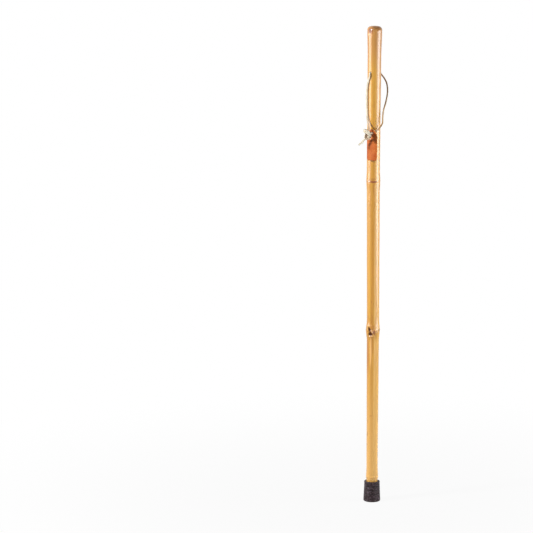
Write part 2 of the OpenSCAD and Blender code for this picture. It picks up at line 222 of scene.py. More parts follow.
# Dark line of the fallen sheath at the third node, which sags in the middle, and its brown shadow above.
high_z = node_z[2]
sag_depth = 0.0022
sag_start = 0.0006
line_waver = 0.0007
for degrees in range(-42, 26, 4):
    sag = sag_depth * math.cos(math.radians(degrees * 2.6)) - sag_start
    strong = 0.42 + 0.5 * math.cos(math.radians((degrees - 1) * 1.9))
    mark(degrees, high_z + 0.0014 - sag, 2.4, 0.9 + 1.7 * strong, dent=0.1, edge=0.8, rust=strong,
         soot=max(0, strong - 0.7) * 0.7)
# The brown band above the line is a painted shadow.
mark(-4, high_z + 0.0065, 9.5, 3.0, edge=1.2, rust=0.3)
mark(3, high_z - 0.017, 2.2, 13, edge=1.2, waver=0.03, rust=0.25)
for degrees in range(70, 330, 5):
    waver_z = line_waver * math.sin(math.radians(degrees * 3))
    strong = 0.4 + 0.25 * math.sin(math.radians(degrees * 5))
    mark(degrees, high_z - 0.001 + waver_z, 2.2, 0.8, dent=0.15, rust=strong)
mark(150, high_z + 0.001, 3.5, 6, dent=1.1, soot=0.85)
mark(140, high_z - 0.009, 4.5, 4, dent=1.0, rust=0.8, soot=0.3)

# Small blemishes along the pole.
mark(-5, 0.630, 2.0, 1.0, edge=1.2, rust=0.35)
mark(-30, 0.350, 3.0, 0.5, rust=0.4)
mark(8, 0.347, 2.4, 0.5, rust=0.3)
mark(-20, 0.225, 3.4, 0.6, rust=0.3)
mark(-61, 0.209, 1.0, 4.0, dent=0.25, soot=0.55)
mark(-58, 0.176, 1.2, 5.0, dent=0.3, soot=0.6)
mark(-64, 0.148, 1.0, 3.5, dent=0.25, soot=0.5)
mark(15, 1.116, 0.7, 1.6, rust=0.7)
mark(-6, 1.128, 0.5, 1.2, rust=0.6)
mark(52, 1.125, 1.0, 5.0, edge=1.0, rust=0.3)
mark(1, 1.021, 1.0, 5.0, edge=1.0, rust=0.35)
mark(-18, 1.076, 0.8, 2.0, rust=0.4)
mark(-16, 0.520, 0.8, 2.6, rust=0.4)
mark(24, 0.745, 0.6, 2.0, rust=0.45)
mark(200, 0.93, 0.8, 3.0, rust=0.5)
mark(110, 0.56, 1.0, 2.4, dent=0.2, soot=0.5)

# The healed bud scar by the crown, with a dark lower lip and pale wood in a V below it, and the end grain.
crown_scar_z = top_z - 0.0105
mark(-41, crown_scar_z - 0.0008, 4.9, 6.3, dent=0.1, edge=0.5, soot=0.22, rust=0.9)
mark(-41, crown_scar_z + 0.0012, 3.9, 5.4, dent=0.2, edge=0.7, heal=1)
mark(-50, crown_scar_z - 0.0085, 4.4, 1.8, tilt=35, edge=1.0, pale=0.65)
mark(-32, crown_scar_z - 0.0085, 4.4, 1.8, tilt=-35, edge=1.0, pale=0.65)
mark(-41, crown_scar_z - 0.013, 1.2, 5.0, edge=0.9, rust=0.55)
mark(-22, crown_scar_z - 0.002, 2.2, 8.0, tilt=-8, edge=0.9, rust=0.6)
mark(150, crown_scar_z, 4.2, 6.0, dent=0.5, rust=0.7, soot=0.2)
# Darker patches on the top of the dome.
mark(10, top_z - 0.0028, 8.0, 3.0, edge=1.4, waver=0.2, burl=1)
mark(-14, top_z - 0.0055, 4.0, 4.5, edge=1.4, waver=0.2, burl=0.7)
cut_drop = 0.0085
cut_fade = 0.0075
cut_wave = 0.0016 * np.sin(turn * 2 + 0.6) + 0.0008 * np.sin(turn * 5 - 1)
tones["endgrain"] = bell(1 - np.clip((height - top_z + cut_drop + cut_wave) / cut_fade, 0, 1))

culm = skin("culm", turned_rings(radius, height, turn, axis_x=np.interp(height, node_z, node_drift)))
for tone, values in tones.items():
    point_attribute(culm, tone, values)


class Formula:
    """A number inside a node tree. Arithmetic with it adds Math nodes to the tree."""

    def __init__(self, tree, socket):
        self.tree = tree
        self.socket = socket

    def math(self, operation, *others):
        node = self.tree.nodes.new("ShaderNodeMath")
        node.operation = operation
        for slot, value in zip(node.inputs, (self, *others)):
            feed(self.tree, slot, value)
        return Formula(self.tree, node.outputs[0])

    def __add__(self, other):
        return self.math("ADD", other)

    def __sub__(self, other):
        return self.math("SUBTRACT", other)

    def __mul__(self, other):
        return self.math("MULTIPLY", other)

    def __truediv__(self, other):
        return self.math("DIVIDE", other)

    def hump(self, half_width):
        """1 where the number is nought, and falling away over about that width to both sides."""
        share = self / half_width
        return (share * share * -1.0).math("EXPONENT")

    def between(self, low, high):
        """0 at low, 1 at high, and smooth between them."""
        node = self.tree.nodes.new("ShaderNodeMapRange")
        node.interpolation_type = "SMOOTHSTEP"
        feed(self.tree, node.inputs["Value"], self)
        feed(self.tree, node.inputs["From Min"], low)
        feed(self.tree, node.inputs["From Max"], high)
        return Formula(self.tree, node.outputs["Result"])


def feed(tree, slot, value):
    """Links a node's slot to a formula or a socket, or sets it to a plain value."""
    if isinstance(value, Formula):
        tree.links.new(value.socket, slot)
    elif isinstance(value, bpy.types.NodeSocket):
        tree.links.new(value, slot)
    else:
        slot.default_value = value


def axes_of(tree, place):
    """The three numbers of a place."""
    split = tree.nodes.new("ShaderNodeSeparateXYZ")
    feed(tree, split.inputs[0], place)
    return [Formula(tree, axis) for axis in split.outputs]


def noise(tree, place, scale, detail=2.0, roughness=0.5):
    """Noise over a place, with one scale for all axes or one for each."""
    stretched = tree.nodes.new("ShaderNodeVectorMath")
    stretched.operation = "MULTIPLY"
    stretched.inputs[1].default_value = scale if hasattr(scale, "__len__") else (scale, scale, scale)
    feed(tree, stretched.inputs[0], place)
    texture = tree.nodes.new("ShaderNodeTexNoise")
    texture.inputs["Scale"].default_value = 1.0
    texture.inputs["Detail"].default_value = detail
    texture.inputs["Roughness"].default_value = roughness
    feed(tree, texture.inputs["Vector"], stretched.outputs[0])
    return Formula(tree, texture.outputs[0])


def new_shape_tree(name, **numbers):
    """A geometry tree that takes a mesh, named numbers and a material; returns it with what it is given."""
    tree = bpy.data.node_groups.new(name, "GeometryNodeTree")
    tree.interface.new_socket("Geometry", in_out="INPUT", socket_type="NodeSocketGeometry")
    for number, value in numbers.items():
        socket = tree.interface.new_socket(number, in_out="INPUT", socket_type="NodeSocketFloat")
        socket.default_value = value
    tree.interface.new_socket("material", in_out="INPUT", socket_type="NodeSocketMaterial")
    tree.interface.new_socket("Geometry", in_out="OUTPUT", socket_type="NodeSocketGeometry")
    given = tree.nodes.new("NodeGroupInput").outputs
    return tree, given, {number: Formula(tree, given[number]) for number in numbers}


def end_shape_tree(tree, given, shape, rise):
    """Ends a geometry tree: moves the shape's points out by rise and gives the shape its material."""
    outward = tree.nodes.new("ShaderNodeVectorMath")
    outward.operation = "SCALE"
    feed(tree, outward.inputs[0], tree.nodes.new("GeometryNodeInputNormal").outputs[0])
    feed(tree, outward.inputs["Scale"], rise)
    moved = tree.nodes.new("GeometryNodeSetPosition")
    feed(tree, moved.inputs["Geometry"], shape)
    feed(tree, moved.inputs["Offset"], outward.outputs[0])
    smooth = tree.nodes.new("GeometryNodeSetShadeSmooth")
    feed(tree, smooth.inputs["Geometry"], moved.outputs[0])
    realized = tree.nodes.new("GeometryNodeRealizeInstances")
    feed(tree, realized.inputs[0], smooth.outputs[0])
    painted = tree.nodes.new("GeometryNodeSetMaterial")
    feed(tree, painted.inputs["Geometry"], realized.outputs[0])
    feed(tree, painted.inputs["Material"], given["material"])
    feed(tree, tree.nodes.new("NodeGroupOutput").inputs[0], painted.outputs[0])


def shaped(piece, tree, **values):
    """Runs a piece through a geometry tree, with the tree's named inputs set, and keeps the result."""
    modifier = piece.modifiers.new(tree.name, "NODES")
    modifier.node_group = tree
    for socket in tree.interface.items_tree:
        if socket.in_out == "INPUT" and socket.name in values:
            modifier[socket.identifier] = values[socket.name]
    finished(piece)


# Rings that repeat along a turned piece: a ridge at each, and a groove below it with a wavering line.
ring_tree, given, value_of = new_shape_tree(
    "ring_relief", first=0.0, pitch=0.1, last=2.0, ridge_rise=0.0, ridge_half=0.003, groove_depth=0.0,
    groove_half=0.001, groove_below=0.0, waver=0.0, least_radius=0.0)
position = ring_tree.nodes.new("GeometryNodeInputPosition").outputs[0]
along_x, along_y, along_z = axes_of(ring_tree, position)
level = along_z + (noise(ring_tree, position, 90.0) - 0.5) * value_of["waver"]
above_first = level - value_of["first"]
index = (above_first / value_of["pitch"]).math("ROUND").math("MAXIMUM", 0.0)
index = index.math("MINIMUM", value_of["last"])
offset = above_first - index * value_of["pitch"]
from_axis = (along_x * along_x + along_y * along_y).math("SQRT")
outside = from_axis.math("GREATER_THAN", value_of["least_radius"])
ridge = offset.hump(value_of["ridge_half"]) * outside
groove = (offset + value_of["groove_below"]).hump(value_of["groove_half"]) * outside
store = ring_tree.nodes.new("GeometryNodeStoreNamedAttribute")
store.inputs["Name"].default_value = "groove"
feed(ring_tree, store.inputs["Geometry"], given["Geometry"])
feed(ring_tree, store.inputs["Value"], groove)
rise = ridge * value_of["ridge_rise"] - groove * value_of["groove_depth"]
end_shape_tree(ring_tree, given, store.outputs[0], rise)


def srgb(*levels):
    """A colour as a picture shows it, from 0 to 255, turned into the linear colour of a shader."""
    shares = [level / 255 for level in levels]
    return tuple(s / 12.92 if s < 0.04 else ((s + 0.055) / 1.055) ** 2.4 for s in shares) + (1.0,)


def new_finish(name, roughness=0.5, **sockets):
    """A material with a Principled shader; returns it with its tree, shader and object coordinates."""
    finish = bpy.data.materials.new(name)
    finish.use_nodes = True
    tree = finish.node_tree
    shader = tree.nodes["Principled BSDF"]
    shader.inputs["Roughness"].default_value = roughness
    for socket, value in sockets.items():
        shader.inputs[socket.replace("_", " ")].default_value = value
    return finish, tree, shader, tree.nodes.new("ShaderNodeTexCoord").outputs["Object"]


def layered(tree, colour, *layers):
    """A colour with others laid over it in turn, each by a share that may vary over the surface."""
    for share, over in layers:
        node = tree.nodes.new("ShaderNodeMix")
        node.data_type = "RGBA"
        feed(tree, node.inputs[0], share)
        feed(tree, node.inputs[6], colour)
        feed(tree, node.inputs[7], over)
        colour = node.outputs[2]
    return colour


def from_mesh(tree, name):
    """A number that is stored on the mesh's points."""
    node = tree.nodes.new("ShaderNodeAttribute")
    node.attribute_name = name
    return Formula(tree, node.outputs["Fac"])


def embossed(tree, shader, relief, distance):
    """Puts a fine relief on a shader's surface, that many metres high."""
    bump = tree.nodes.new("ShaderNodeBump")
    bump.inputs["Strength"].default_value = 1.0
    bump.inputs["Distance"].default_value = distance
    feed(tree, bump.inputs["Height"], relief)
    feed(tree, shader.inputs["Normal"], bump.outputs[0])


lacquered_bamboo, tree, shader, place = new_finish(
    "lacquered_bamboo", roughness=0.42, Specular_IOR_Level=0.1, Coat_Weight=1.0, Coat_Roughness=0.25,
    Coat_IOR=1.58)
fibres = noise(tree, place, (950, 950, 7), detail=3, roughness=0.6)
strips = noise(tree, place, (190, 190, 2.2))
bands = noise(tree, place, (70, 70, 1.5), detail=1)
clouds = noise(tree, place, (26, 26, 9), detail=3)
flecks = noise(tree, place, (1200, 1200, 80))
ring_marks = noise(tree, place, (240, 240, 2500))
vessels = noise(tree, place, 1300.0)
up_the_pole = axes_of(tree, place)[2]
end_grain = from_mesh(tree, "endgrain")
healed = from_mesh(tree, "heal")
soot = from_mesh(tree, "soot")
end_colour = layered(
    tree, srgb(182, 120, 64),
    (clouds.between(0.3, 0.7), srgb(206, 150, 92)),
    (vessels.between(0.56, 0.68) * 0.4, srgb(132, 82, 36)))
colour = layered(
    tree, srgb(188, 130, 28),
    (bands.between(0.36, 0.66), srgb(206, 152, 44)),
    (strips.between(0.50, 0.74) * 0.55, srgb(230, 176, 84)),
    (strips.between(0.47, 0.28) * 0.5, srgb(180, 116, 34)),
    (fibres.between(0.44, 0.26) * 0.55, srgb(156, 96, 30)),
    (fibres.between(0.56, 0.78) * 0.35, srgb(236, 188, 100)),
    (clouds.between(0.52, 0.8) * 0.3, srgb(202, 132, 46)),
    (flecks.between(0.59, 0.73) * 0.4, srgb(136, 78, 22)),
    (up_the_pole.between(1.08, 1.18) * 0.75, srgb(176, 118, 54)),
    (up_the_pole.between(0.42, 0.08) * 0.5, srgb(232, 184, 110)),
    (end_grain * 0.9, end_colour),
    (from_mesh(tree, "burl") * (vessels.between(0.4, 0.6) * 0.55 + 0.4), srgb(112, 74, 22)),
    (from_mesh(tree, "pale"), srgb(246, 190, 118)),
    (from_mesh(tree, "groove") * clouds.between(0.3, 0.6) * 0.25, srgb(158, 84, 28)),
    # Stains, and the painted shadow above the third node's sheath line.
    (from_mesh(tree, "rust"), srgb(144, 70, 20)),
    (healed * (ring_marks.between(0.2, 0.5) * 0.4 + 0.6), srgb(160, 118, 96)),
    (soot, srgb(60, 22, 8)))
feed(tree, shader.inputs["Base Color"], colour)
dull = (end_grain * 0.72).math("MAXIMUM", soot * 0.85).math("MAXIMUM", healed * 0.9)
feed(tree, shader.inputs["Roughness"], (fibres - 0.5) * 0.25 + 0.36 + dull * 0.3)
feed(tree, shader.inputs["Coat Weight"], dull * -1.0 + 1.0)
embossed(tree, shader, fibres * 0.7 + flecks * 0.3, 0.00008)
shaped(culm, ring_tree, first=node_z[0], pitch=internode, last=2.0, ridge_rise=0.00045, ridge_half=0.0026,
       groove_depth=0.0003, groove_half=0.0009, groove_below=0.0026, waver=0.0022,
       material=lacquered_bamboo)

# The wall of the lace hole is bare end grain, cut by a drill and broken at both mouths, and painted dark
# brown as painted shade inside the hole.
drilled_wall, tree, shader, place = new_finish("drilled_wall", roughness=0.8)
wall_mottle = noise(tree, place, 900.0, detail=3)
colour = layered(tree, srgb(70, 38, 16), (wall_mottle.between(0.3, 0.7), srgb(128, 80, 38)))
feed(tree, shader.inputs["Base Color"], colour)
drill_sides = 40
drill_turn = np.linspace(0, 2 * np.pi, drill_sides, endpoint=False)
mouth_r = culm_radius(hole_z)
drill = skin("lace_drill", np.stack([
    np.stack([r * np.cos(drill_turn), r * np.sin(drill_turn), np.full(drill_sides, z)], axis=-1)
    for r, z in ((hole_r + 3 * hole_break, -mouth_r - 2 * hole_break), (hole_r, -mouth_r + hole_break),
                 (hole_r, mouth_r - hole_break), (hole_r + 3 * hole_break, mouth_r + 2 * hole_break))]))
drill.data.transform(Matrix.Translation((grip_x, 0, hole_z)) @ Matrix.Rotation(-hole_turn, 4, "Z")
                     @ Matrix.Rotation(math.radians(90), 4, "X"))
for piece in (culm, drill):
    piece.data.materials.clear()
    piece.data.materials.append(lacquered_bamboo)
    piece.data.materials.append(drilled_wall)
drill.data.polygons.foreach_set("material_index", [1] * len(drill.data.polygons))
cut = culm.modifiers.new("lace_hole", "BOOLEAN")
cut.object = drill
cut.solver = "EXACT"
finished(culm)
bpy.data.objects.remove(drill)
culm.data.set_sharp_from_angle(angle=culm_sharp)
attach(culm, "staff")
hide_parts("staff")

# The washer is a plain zinc-plated steel disc, moulded into the ferrule's floor under the culm, where it
# keeps the seat from punching through the rubber. It stays the frame's own solid.
zinc_plate, tree, shader, place = new_finish("zinc_plate", roughness=0.38, Metallic=1.0)
spangle = noise(tree, place, 420.0, detail=3)
colour = layered(tree, srgb(178, 180, 184), (spangle.between(0.3, 0.7), srgb(214, 216, 218)))
feed(tree, shader.inputs["Base Color"], colour)
feed(tree, shader.inputs["Roughness"], spangle * 0.3 + 0.25)
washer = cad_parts["ferrule_washer"]
washer.data.materials.clear()
washer.data.materials.append(zinc_plate)

# The ferrule is a moulded black rubber tip that is pushed over the seat and grips it. Ring grooves run
# round its sleeve, a bead stiffens its rim, and two tread grooves are moulded into its base.
base_r = 0.0215
sleeve_r = 0.0193
foot_edge = 0.003
foot_steps = 8
rim_bead = 0.0006
bead_h = 0.005
bead_steps = 12
socket_r = seat_r + 0.00005
pocket_z = seat_z - 0.0016
washer_r = 0.012
tread = ((0.006, 0.0078), (0.012, 0.0138))
tread_depth = 0.0016
tread_edge = 0.0002
middle_r = 0.0008
outline_step = 0.0005
wall_inset = 0.0015
wall_foot = 0.0012
seam_degrees = 27
seam_half = 1.1
seam_rise = 0.00028
uneven = 0.00006
rubber_sides = 128
rubber_sharp = math.radians(50)


def outline_through(corners, step):
    """A turned outline through corner points, with more points where these lie further apart than step."""
    points = []
    for (r0, z0), (r1, z1) in zip(corners, corners[1:]):
        parts = max(1, math.ceil(math.hypot(r1 - r0, z1 - z0) / step))
        points += [(r0 + (r1 - r0) * k / parts, z0 + (z1 - z0) * k / parts) for k in range(parts)]
    return np.array(points + [corners[-1]])


corners = [(middle_r, 0.0)]
for inner, outer in tread:
    corners += [(inner - tread_edge, 0), (inner, tread_edge), (inner, tread_depth),
                (outer, tread_depth), (outer, tread_edge), (outer + tread_edge, 0)]
for k in range(foot_steps + 1):
    round_foot = math.radians(90 * k / foot_steps)
    corners.append((base_r - foot_edge + foot_edge * math.sin(round_foot),
                    foot_edge - foot_edge * math.cos(round_foot)))
bead_z = rim_z - bead_h
bead_r = base_r + (sleeve_r - base_r) * (bead_z - foot_edge) / (rim_z - foot_edge)
corners.append((bead_r, bead_z))
for k in range(bead_steps + 1):
    round_bead = math.radians(20 + 140 * k / bead_steps)
    corners.append((sleeve_r - rim_bead + 2 * rim_bead * math.sin(round_bead),
                    bead_z + bead_h * (0.1 + 0.9 * k / bead_steps)))
corners += [(socket_r + seat_bevel, rim_z), (socket_r, rim_z - seat_bevel), (socket_r, seat_z),
            (washer_r, seat_z), (washer_r, pocket_z), (middle_r, pocket_z)]
outline = outline_through(corners, outline_step)
radius, height, turn = turned_grid(outline[:, 0], outline[:, 1], rubber_sides)
outer_wall = (radius > socket_r + wall_inset) & (height > wall_foot)
seam = np.exp(-(((np.degrees(turn) - seam_degrees + 90) % 180 - 90) / seam_half) ** 2)
dimples = np.sin(turn * 9 + height * 900) * np.sin(height * 700 - turn * 4)
radius += outer_wall * (seam_rise * seam + uneven * dimples)
rubber_ferrule = skin("rubber_ferrule", turned_rings(radius, height, turn))
point_attribute(rubber_ferrule, "seam", outer_wall * seam)

moulded_rubber, tree, shader, place = new_finish("moulded_rubber", roughness=0.5, Specular_IOR_Level=0.15)
mottle = noise(tree, place, (210, 210, 300), detail=4, roughness=0.65)
scuffs = noise(tree, place, (330, 330, 900), detail=3, roughness=0.6)
pores = noise(tree, place, 1600.0)
up_the_tip = axes_of(tree, place)[2]
colour = layered(
    tree, srgb(26, 17, 19),
    (mottle.between(0.38, 0.62), srgb(56, 43, 47)),
    (mottle.between(0.54, 0.70) * 0.8, srgb(100, 85, 103)),
    (scuffs.between(0.58, 0.70) * 0.7, srgb(134, 121, 120)),
    (from_mesh(tree, "seam") * 0.6, srgb(110, 102, 104)),
    (from_mesh(tree, "groove") * 0.85, srgb(16, 13, 14)),
    (up_the_tip.between(0.006, 0.0) * scuffs.between(0.4, 0.6) * 0.5, srgb(110, 100, 92)))
feed(tree, shader.inputs["Base Color"], colour)
feed(tree, shader.inputs["Roughness"], mottle * 0.35 + 0.34)
embossed(tree, shader, mottle * 0.6 + pores * 0.4, 0.0004)
shaped(rubber_ferrule, ring_tree, first=0.020, pitch=0.0095, last=2.0, groove_depth=0.0008,
       groove_half=0.0008, waver=0.0006, least_radius=0.0165, material=moulded_rubber)
rubber_ferrule.data.set_sharp_from_angle(angle=rubber_sharp)
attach(rubber_ferrule, "ferrule")
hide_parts("ferrule")

# The tag is a strap end of vegetable-tanned leather with an arched top and rounded lower corners. It is
# die-cut, so its edge shows pale raw leather, punched for the lace, and bowed around the pole.
tag_w = 0.028
tag_h = 0.080
tag_t = 0.0026
tag_arch = 0.025
tag_corner = 0.006
tag_hole_r = 0.0029
tag_hole_drop = 0.0105
tag_bow_r = 0.060
tag_steps = 260
face_rings = 40
face_from_hole = 0.0007
face_trim = 0.0015
rim_depth = 0.00025
tag_wave = 0.00025
tag_ripple = 0.00012
tag_turn = math.radians(25)
tag_at = np.array([5.0, 21.8, -151.0])
tag_out = np.array([-math.sin(tag_turn), -math.cos(tag_turn), 0.0])
tag_side = np.array([math.cos(tag_turn), -math.sin(tag_turn), 0.0])
up = np.array([0.0, 0.0, 1.0])
lace_origin = np.array([grip_x, 0.0, hole_z])


def arc(x, y, half_x, half_y, start, end, steps):
    """Points on an elliptical arc around a centre, between two angles in degrees."""
    angles = np.radians(np.linspace(start, end, steps))
    return np.stack([x + half_x * np.cos(angles), y + half_y * np.sin(angles)], axis=-1)


corner_x = tag_w / 2 - tag_corner
corner_y = tag_hole_drop - tag_h + tag_corner
border = np.concatenate([
    arc(0, tag_hole_drop - tag_arch, tag_w / 2, tag_arch, 180, 0, 80),
    arc(corner_x, corner_y, tag_corner, tag_corner, 0, -90, 16),
    arc(-corner_x, corner_y, tag_corner, tag_corner, -90, -180, 16)])
border = np.concatenate([border, border[:1]])
walked = np.concatenate([[0], np.cumsum(np.linalg.norm(np.diff(border, axis=0), axis=1))])
stops = np.linspace(0, walked[-1], tag_steps, endpoint=False)
border = np.stack([np.interp(stops, walked, border[:, k]) for k in (0, 1)], axis=-1)
reach = np.linalg.norm(border, axis=1, keepdims=True)
punched = border / reach * tag_hole_r
reach = reach - tag_hole_r

# One section from the hole to the cut edge and back: the grain side with its rounded arris, the raw edge and
# the flesh side.
inner_arris = ((0.0, 0.5), (0.00012, 0.2), (0.0004, 0.0))
outer_arris = ((0.0007, 0.0), (0.0003, 0.12), (0.0001, 0.3), (0.0, 0.55))
section = [("hole", d, tag_t / 2 - 0.001 * drop) for d, drop in inner_arris]
section += [("face", k / face_rings, tag_t / 2) for k in range(1, face_rings)]
section += [("edge", d, tag_t / 2 - 0.001 * drop) for d, drop in outer_arris]
section += [(kind, d, -depth) for kind, d, depth in reversed(section)]
rings = []
masks = {"raw_edge": [], "flesh": [], "arris": []}
for kind, d, depth in section:
    if kind == "hole":
        share = d / reach
    elif kind == "face":
        share = face_from_hole / reach + d * (1 - face_trim / reach)
    else:
        share = 1 - d / reach
    flat = punched + (border - punched) * share
    across, above = flat.T
    wave = tag_wave * np.sin(above * 95 + 1) * np.sin(across * 120) + tag_ripple * np.sin(above * 300)
    out = np.sqrt((tag_bow_r + depth) ** 2 - across ** 2) - tag_bow_r + wave
    local = tag_at / 1000 + np.stack([across, out, above], axis=-1)
    rings.append(lace_origin + local[:, :1] * tag_side + local[:, 1:2] * tag_out + local[:, 2:] * up)
    on_rim = kind != "face" and abs(depth) < tag_t / 2 - rim_depth
    masks["raw_edge"].append(np.full(tag_steps, float(on_rim)))
    masks["flesh"].append(np.full(tag_steps, float(depth < 0)))
    masks["arris"].append(np.full(tag_steps, float(kind != "face" and depth > 0 and not on_rim)))
leather_tag = skin("leather_tag", np.array(rings), looped=True)
for name, values in masks.items():
    point_attribute(leather_tag, name, values)

tanned_leather, tree, shader, place = new_finish("tanned_leather", roughness=0.5, Specular_IOR_Level=0.15)
hide = noise(tree, place, (60, 60, 45), detail=4, roughness=0.6)
pores = noise(tree, place, 1900.0, detail=3, roughness=0.6)
creases = noise(tree, place, (260, 260, 700), detail=4, roughness=0.6)
flesh = layered(tree, srgb(178, 118, 72), (creases.between(0.3, 0.7), srgb(206, 152, 104)))
raw = layered(tree, srgb(222, 176, 104), (pores.between(0.3, 0.7), srgb(246, 218, 150)))
colour = layered(
    tree, srgb(174, 83, 30),
    (hide.between(0.32, 0.68), srgb(195, 107, 48)),
    (pores.between(0.52, 0.3) * 0.45, srgb(158, 70, 28)),
    (creases.between(0.58, 0.74) * 0.35, srgb(234, 148, 92)),
    (from_mesh(tree, "arris") * 0.7, srgb(120, 56, 24)),
    (from_mesh(tree, "flesh"), flesh),
    (from_mesh(tree, "raw_edge"), raw))
feed(tree, shader.inputs["Base Color"], colour)
feed(tree, shader.inputs["Roughness"], pores * 0.3 + 0.36)
embossed(tree, shader, pores * 0.6 + creases * 0.4, 0.0003)
leather_tag.data.materials.append(tanned_leather)
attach(leather_tag, "tag")
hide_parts("tag")

# The wrist lace is one flat thong of cream suede. It runs through the drilled hole, and its two ends hang
# down, meet in front of the tag and are tied together in one overhand knot with two short cut tails.
# Its route is in millimetres from the middle of the hole.
lace_w = 0.0040
lace_t = 0.0018
lace_edge = 0.0005
lace_nap = 0.0001
lace_break = 15.0
lace_step = 1.3
by_mouth = 18.2
knot_at = np.array([-16.5, -33.3, -154.5])
beside = 2.08
stacked = 0.95
hole_out = np.array([-math.sin(hole_turn), -math.cos(hole_turn), 0.0])
hole_side = np.array([math.cos(hole_turn), -math.sin(hole_turn), 0.0])
hang_wide = np.array([0.85, -0.5, 0.0])
tail_wide = np.array([-0.7, 0.0, 0.7])

# The two strands' way through the knot, seen from the front: right, above and out from its middle, the side
# on which the front strand lies, how far that side leans out, and how far the strands lie on each other.
knot_rows = (
    (2.4, 8.6, -2.4, 150, 10, 0), (-1.0, 5.0, -0.6, 152, 20, 0), (-3.8, 0.4, 0.8, 160, 30, 0),
    (-4.6, -3.9, 1.6, 190, 35, 0), (-3.2, -6.7, 1.8, 225, 35, 0), (-0.4, -8.1, 1.6, 260, 35, 0),
    (2.7, -7.7, 0.8, 295, 30, 0), (5.0, -5.6, -0.8, 330, 25, 0), (6.0, -2.0, -3.0, 362, 15, 0),
    (5.4, 2.2, -5.2, 378, 0, 0), (3.0, 6.4, -6.4, 405, 0, 0), (-1.5, 9.6, -6.2, 435, 0, 0),
    (-6.5, 11.0, -4.2, 448, 0, 0), (-9.2, 11.3, -0.6, 450, 0, 0), (-7.4, 10.9, 2.8, 445, 0, 0),
    (-3.2, 9.9, 4.6, 435, 0, 0), (0.8, 7.8, 5.4, 415, 0, 0), (3.4, 4.4, 5.4, 385, 0, 0),
    (4.0, 0.6, 4.2, 360, 0, 0.1), (3.0, -2.4, 2.0, 340, 0, 0.5), (0.8, -4.4, -0.8, 322, 0, 0.9),
    (-2.6, -7.0, -3.2, 315, 0, 1), (-7.0, -11.0, -4.2, 315, 0, 1))


def unit(v):
    return v / np.linalg.norm(v)


def by_tag(right, out, above):
    """A place that is measured along the tag's face."""
    return tag_side * right + tag_out * out + up * above


def by_knot(right, above, out):
    """A place that is measured from the middle of the knot."""
    return knot_at + np.array([right, -out, above])


def knot_run(strand):
    """One strand's places and width directions in the knot; the strand is 1 in front and -1 behind."""
    middle = np.array([by_knot(*row[:3]) for row in knot_rows])
    ahead = np.gradient(middle, axis=0)
    route = []
    for place, heading, row in zip(middle, ahead, knot_rows):
        side = math.radians(row[3])
        lean = math.radians(row[4])
        over = row[5]
        heading = unit(heading)
        wide = np.array([math.cos(side) * math.cos(lean), -math.sin(lean), math.sin(side) * math.cos(lean)])
        wide = unit(wide - heading * np.dot(wide, heading))
        face = np.cross(heading, wide)
        route.append((place + strand * (wide * beside * (1 - over) + face * stacked * over), -wide))
    return route


front_route = [
    (hole_out * lace_break, hole_side),
    (hole_out * by_mouth, hole_side),
    (hole_out * 20.0 - up * 2.2, hole_side),
    (hole_out * 20.4 - up * 6.5, hole_side),
    (np.array([-15.2, -12.6, -20]), hang_wide),
    (np.array([-18.3, -9.4, -42]), hang_wide),
    (np.array([-18.6, -9.3, -64]), hang_wide),
    (np.array([-18.2, -9.9, -92]), hang_wide),
    (np.array([-16.4, -13.4, -119]), hang_wide),
    (by_knot(3.4, 20, -10.0), np.array([1, -0.3, 0.0])),
    (by_knot(3.4, 14, -4.6), np.array([1, -0.1, -0.2])),
    *knot_run(1),
    (by_knot(-14.5, -21.5, -4.6), tail_wide),
]
back_route = [
    (-hole_out * lace_break, hole_side),
    (-hole_out * by_mouth, hole_side),
    (np.array([13.6, 16.9, -2]), hole_side),
    (np.array([18, 16.4, -8]), hole_side),
    (np.array([25.5, 13.2, -17.5]), hole_side),
    (np.array([31, 9, -28]), hole_side),
    (np.array([33.5, 4, -42]), hole_side),
    (np.array([32.4, -1, -61]), hole_side),
    (np.array([27.8, -5, -81]), hole_side),
    (np.array([23.4, -8.5, -97]), hole_side),
    (np.array([21.8, -11.5, -114]), hole_side),
    (np.array([21.2, -14.4, -126]), hole_side * 0.7 - up * 0.3),
    (by_tag(21.5, 9.5, -136), hole_side * 0.35 - up * 0.65),
    (by_tag(14.5, 14.6, -144.5), -up),
    (by_tag(8.2, 16.9, -150), -up),
    (by_tag(*(tag_at - np.array([0, 2.2, 0]))), -up),
    (by_tag(*(tag_at + np.array([0, 1.6, 0]))), -up),
    (by_knot(9.2, 5.0, -3.0), -up),
    *knot_run(-1),
    (by_knot(-21.5, -25.5, -3.4), tail_wide),
]
bore_route = [(-hole_out * lace_break, hole_side), (hole_out * lace_break, hole_side)]


def run_along(route):
    """A smooth curve through a route's places, in metres, with the lace's width direction at each point."""
    places, wides = (np.array(column, dtype=float) for column in zip(*route))
    chords = np.linalg.norm(np.diff(places, axis=0), axis=1)
    headings = [unit(places[1] - places[0])]
    for i in range(1, len(places) - 1):
        after = (places[i + 1] - places[i]) * chords[i - 1] / chords[i]
        before = (places[i] - places[i - 1]) * chords[i] / chords[i - 1]
        headings.append(unit(after + before))
    headings.append(unit(places[-1] - places[-2]))
    points = []
    widths = []
    for i, chord in enumerate(chords):
        parts = max(1, math.ceil(chord / lace_step))
        for k in range(parts):
            u = k / parts
            points.append(places[i] * (2 * u ** 3 - 3 * u ** 2 + 1)
                          + headings[i] * chord * (u ** 3 - 2 * u ** 2 + u)
                          + places[i + 1] * (3 * u ** 2 - 2 * u ** 3)
                          + headings[i + 1] * chord * (u ** 3 - u ** 2))
            widths.append(wides[i] * (1 - u) + wides[i + 1] * u)
    points = np.array(points + [places[-1]])
    widths = np.array(widths + [wides[-1]])
    ahead = np.gradient(points, axis=0)
    ahead /= np.linalg.norm(ahead, axis=1)[:, None]
    widths -= ahead * (widths * ahead).sum(1)[:, None]
    widths /= np.linalg.norm(widths, axis=1)[:, None]
    return lace_origin + points / 1000, widths


